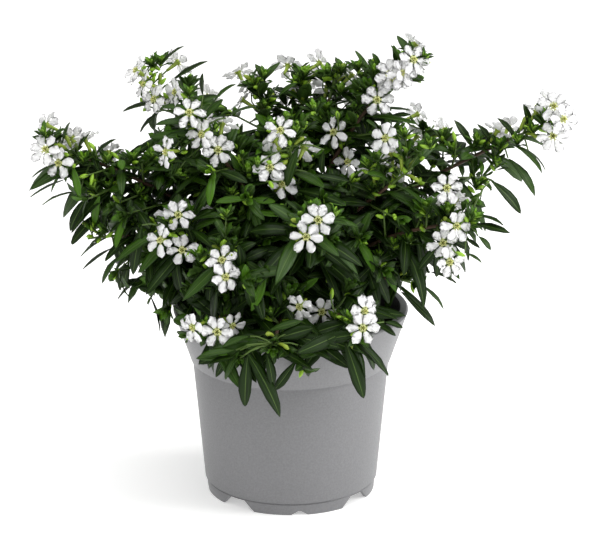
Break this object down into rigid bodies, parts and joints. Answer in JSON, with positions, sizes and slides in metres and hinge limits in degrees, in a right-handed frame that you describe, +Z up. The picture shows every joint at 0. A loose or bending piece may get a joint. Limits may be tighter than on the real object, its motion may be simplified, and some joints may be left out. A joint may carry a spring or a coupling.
{
  "type": "potted cuphea",
  "caption": "Bushy flowering cuphea shrub with small white blooms and narrow dark leaves, arching out of a plain grey nursery pot",
  "frame": {"origin": "On the pot's axis at the flat underside that it stands on.", "axes": "+Z is up and -Y faces the viewer of the picture. +X is the viewer's right."},
  "size_m": [0.2825, 0.193, 0.2394],
  "materials": {
    "pot_plastic": "moulded grey plastic with a fine grain, black on the inside",
    "potting_soil": "dark crumbly peat",
    "bark": "thin brown bark, green and red towards the tips",
    "foliage": "glossy dark green leaves with pale midribs, bright green young tips and crinkled white petals"
  },
  "bodies": {
    "root": {"pot": "pot_plastic", "soil": "potting_soil", "stem": "bark", "bough_crown_left": "bark", "bough_crown_middle": "bark", "bough_crown_right": "bark", "bough_front_crest": "bark", "bough_front_face": "bark", "bough_front_left_skirt": "bark", "bough_front_right_skirt": "bark", "bough_front_skirt": "bark", "bough_left_bank": "bark", "bough_left_crest": "bark", "bough_left_flank": "bark", "bough_left_front": "bark", "bough_left_reach": "bark", "bough_left_shoulder": "bark", "bough_left_skirt": "bark", "bough_rear_face": "bark", "bough_rear_left_crest": "bark", "bough_rear_left_skirt": "bark", "bough_rear_right_crest": "bark", "bough_rear_right_skirt": "bark", "bough_right_crest": "bark", "bough_right_flank": "bark", "bough_right_reach": "bark", "bough_right_rear": "bark", "bough_right_shoulder": "bark", "bough_right_skirt": "bark", "foliage_crown_left": "foliage", "foliage_crown_middle": "foliage", "foliage_crown_right": "foliage", "foliage_front_crest": "foliage", "foliage_front_face": "foliage", "foliage_front_left_skirt": "foliage", "foliage_front_right_skirt": "foliage", "foliage_front_skirt": "foliage", "foliage_left_bank": "foliage", "foliage_left_crest": "foliage", "foliage_left_flank": "foliage", "foliage_left_front": "foliage", "foliage_left_reach": "foliage", "foliage_left_shoulder": "foliage", "foliage_left_skirt": "foliage", "foliage_rear_face": "foliage", "foliage_rear_left_crest": "foliage", "foliage_rear_left_skirt": "foliage", "foliage_rear_right_crest": "foliage", "foliage_rear_right_skirt": "foliage", "foliage_right_crest": "foliage", "foliage_right_flank": "foliage", "foliage_right_reach": "foliage", "foliage_right_rear": "foliage", "foliage_right_shoulder": "foliage", "foliage_right_skirt": "foliage"}
  },
  "joints": []
}
